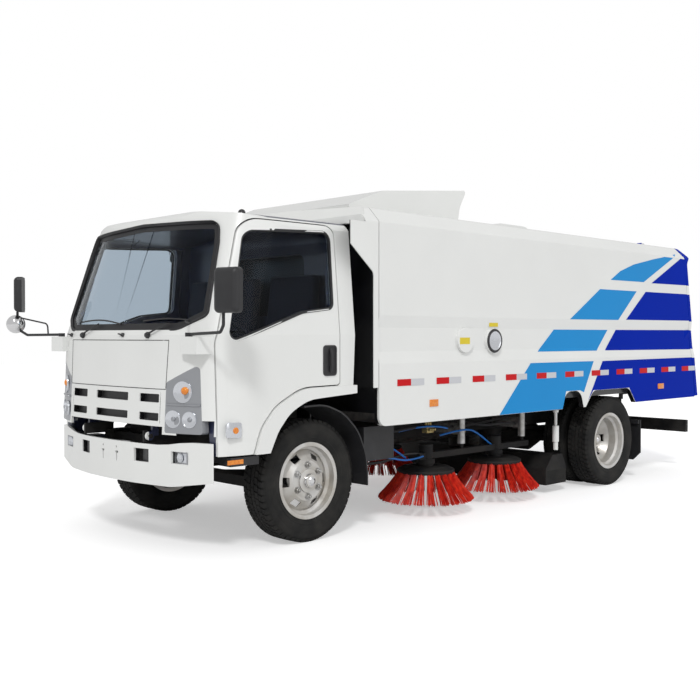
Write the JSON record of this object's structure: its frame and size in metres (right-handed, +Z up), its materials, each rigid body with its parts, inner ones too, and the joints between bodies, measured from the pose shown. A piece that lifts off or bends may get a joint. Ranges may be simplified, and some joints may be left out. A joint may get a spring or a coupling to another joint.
{
  "type": "street sweeper truck",
  "caption": "Cab-over street sweeper truck with a tipping debris body, disc brushes and a suction nozzle between the axles, twin rear wheels, tilting cab and opening doors.",
  "frame": {"origin": "on the ground, at the middle of the truck's length and width", "axes": "+X forward, +Y to the truck's left, +Z up"},
  "size_m": [6.6748, 2.8201, 2.6758],
  "materials": {
    "frame_black": "satin",
    "cab_white": "gloss",
    "body_white": "gloss",
    "rim_silver": "satin",
    "tyre_rubber": "matte",
    "black_plastic": "matte",
    "glazing": "gloss",
    "lamp_clear": "gloss",
    "engine_iron": "matte",
    "bare_steel": "satin",
    "cylinder_chrome": "polished",
    "seat_cloth": "matte",
    "brush_red": "matte",
    "door_blue": "gloss"
  },
  "bodies": {
    "chassis": {"frame_rails": "frame_black", "front_axle": "frame_black", "rear_axle": "frame_black", "leaf_springs": "frame_black", "engine_block": "engine_iron", "drive_line": "engine_iron", "radiator": "frame_black", "fuel_tank": "frame_black", "battery_box": "black_plastic", "auxiliary_engine": "engine_iron", "front_bumper": "cab_white", "chassis_lamps": "lamp_clear", "front_mudguards": "black_plastic", "rear_mudguards": "black_plastic", "tail_bar": "frame_black", "front_shroud": "body_white", "lift_cylinders": "bare_steel"},
    "knuckle_left": {"knuckle_left": "engine_iron"},
    "knuckle_right": {"knuckle_right": "engine_iron"},
    "front_wheel_left": {"front_rim_left": "rim_silver", "front_tyre_left": "tyre_rubber"},
    "front_wheel_right": {"front_rim_right": "rim_silver", "front_tyre_right": "tyre_rubber"},
    "rear_wheels_left": {"rear_rims_left": "rim_silver", "rear_tyres_left": "tyre_rubber"},
    "rear_wheels_right": {"rear_rims_right": "rim_silver", "rear_tyres_right": "tyre_rubber"},
    "cab": {"cab_shell": "cab_white", "windscreen": "glazing", "rear_window": "glazing", "headlamps": "lamp_clear", "dashboard": "black_plastic", "seats": "seat_cloth", "grille_insert": "black_plastic", "mirrors": "black_plastic", "roof_marker": "black_plastic"},
    "door_left": {"door_left": "cab_white", "door_glass_left": "glazing"},
    "door_right": {"door_right": "cab_white", "door_glass_right": "glazing"},
    "steering_wheel": {"steering_wheel": "black_plastic"},
    "sweeper_body": {"hopper_shell": "body_white", "roof_hoods": "body_white"},
    "rear_door": {"rear_door": "door_blue"},
    "tip_barrel": {"tip_barrel": "frame_black"},
    "tip_rod": {"tip_rod": "cylinder_chrome"},
    "brush_carrier_left": {"brush_carrier_left": "frame_black"},
    "brush_carrier_right": {"brush_carrier_right": "frame_black"},
    "brush_front_left": {"brush_front_left": "brush_red"},
    "brush_front_right": {"brush_front_right": "brush_red"},
    "brush_rear_left": {"brush_rear_left": "brush_red"},
    "brush_rear_right": {"brush_rear_right": "brush_red"},
    "suction_nozzle": {"suction_nozzle": "frame_black", "nozzle_skirt": "tyre_rubber"}
  },
  "joints": [
    {"name": "steer_left", "type": "hinge", "parent": "chassis", "child": "knuckle_left", "pos_m": [2.2025, 0.7, 0.43], "axis": [0, 0, 1], "range_deg": [-35, 35]},
    {"name": "steer_right", "type": "hinge", "parent": "chassis", "child": "knuckle_right", "pos_m": [2.2025, -0.7, 0.43], "axis": [0, 0, 1], "range_deg": [-35, 35]},
    {"name": "front_left_spin", "type": "hinge", "parent": "knuckle_left", "child": "front_wheel_left", "pos_m": [2.2025, 0.8445, 0.43], "axis": [0, 1, 0], "continuous": true},
    {"name": "front_right_spin", "type": "hinge", "parent": "knuckle_right", "child": "front_wheel_right", "pos_m": [2.2025, -0.8445, 0.43], "axis": [0, 1, 0], "continuous": true},
    {"name": "rear_left_spin", "type": "hinge", "parent": "chassis", "child": "rear_wheels_left", "pos_m": [-1.6125, 0.826, 0.43], "axis": [0, 1, 0], "continuous": true},
    {"name": "rear_right_spin", "type": "hinge", "parent": "chassis", "child": "rear_wheels_right", "pos_m": [-1.6125, -0.826, 0.43], "axis": [0, 1, 0], "continuous": true},
    {"name": "cab_tilt", "type": "hinge", "parent": "chassis", "child": "cab", "pos_m": [3.1625, 0, 0.775], "axis": [0, 1, 0], "range_deg": [0, 45]},
    {"name": "door_left_hinge", "type": "hinge", "parent": "cab", "child": "door_left", "pos_m": [2.9925, 0.98, 1.1], "axis": [0, 0, -1], "range_deg": [0, 70]},
    {"name": "door_right_hinge", "type": "hinge", "parent": "cab", "child": "door_right", "pos_m": [2.9925, -0.98, 1.1], "axis": [0, 0, 1], "range_deg": [0, 70]},
    {"name": "steering_turn", "type": "hinge", "parent": "cab", "child": "steering_wheel", "pos_m": [2.5975, 0.52, 1.47], "axis": [-0.6159, 0, 0.7878], "range_deg": [-540, 540]},
    {"name": "body_tip", "type": "hinge", "parent": "chassis", "child": "sweeper_body", "pos_m": [-2.9875, 0, 0.835], "axis": [0, -1, 0], "range_deg": [0, 45]},
    {"name": "rear_door_lift", "type": "hinge", "parent": "sweeper_body", "child": "rear_door", "pos_m": [-3.0165, 0, 2.452], "axis": [0, 1, 0], "range_deg": [0, 60]},
    {"name": "tip_barrel_swing", "type": "hinge", "parent": "chassis", "child": "tip_barrel", "pos_m": [-2.3475, 0, 0.59], "axis": [0, -1, 0], "range_deg": [0, 56.63]},
    {"name": "tip_rod_stroke", "type": "slide", "parent": "tip_barrel", "child": "tip_rod", "axis": [0.9787, 0, 0.2052], "range_m": [0, 0.4617]},
    {"name": "brush_lift_left", "type": "slide", "parent": "chassis", "child": "brush_carrier_left", "axis": [0, 0, -1], "range_m": [0, 0.085]},
    {"name": "brush_lift_right", "type": "slide", "parent": "chassis", "child": "brush_carrier_right", "axis": [0, 0, -1], "range_m": [0, 0.085]},
    {"name": "nozzle_lift", "type": "slide", "parent": "chassis", "child": "suction_nozzle", "axis": [0, 0, -1], "range_m": [0, 0.065]},
    {"name": "brush_front_left_spin", "type": "hinge", "parent": "brush_carrier_left", "child": "brush_front_left", "pos_m": [0.7025, 0.72, 0.35], "axis": [0, 0, 1], "continuous": true},
    {"name": "brush_front_right_spin", "type": "hinge", "parent": "brush_carrier_right", "child": "brush_front_right", "pos_m": [0.7025, -0.72, 0.35], "axis": [0, 0, 1], "continuous": true},
    {"name": "brush_rear_left_spin", "type": "hinge", "parent": "brush_carrier_left", "child": "brush_rear_left", "pos_m": [-0.2275, 0.72, 0.35], "axis": [0, 0, 1], "continuous": true},
    {"name": "brush_rear_right_spin", "type": "hinge", "parent": "brush_carrier_right", "child": "brush_rear_right", "pos_m": [-0.2275, -0.72, 0.35], "axis": [0, 0, 1], "continuous": true}
  ],
  "couplings": [
    {"joint": "steer_right", "follows": "steer_left", "ratio": 1},
    {"joint": "tip_barrel_swing", "follows": "body_tip", "ratio": 1.2583},
    {"joint": "tip_rod_stroke", "follows": "body_tip", "m_per_rad": 0.5878}
  ]
}
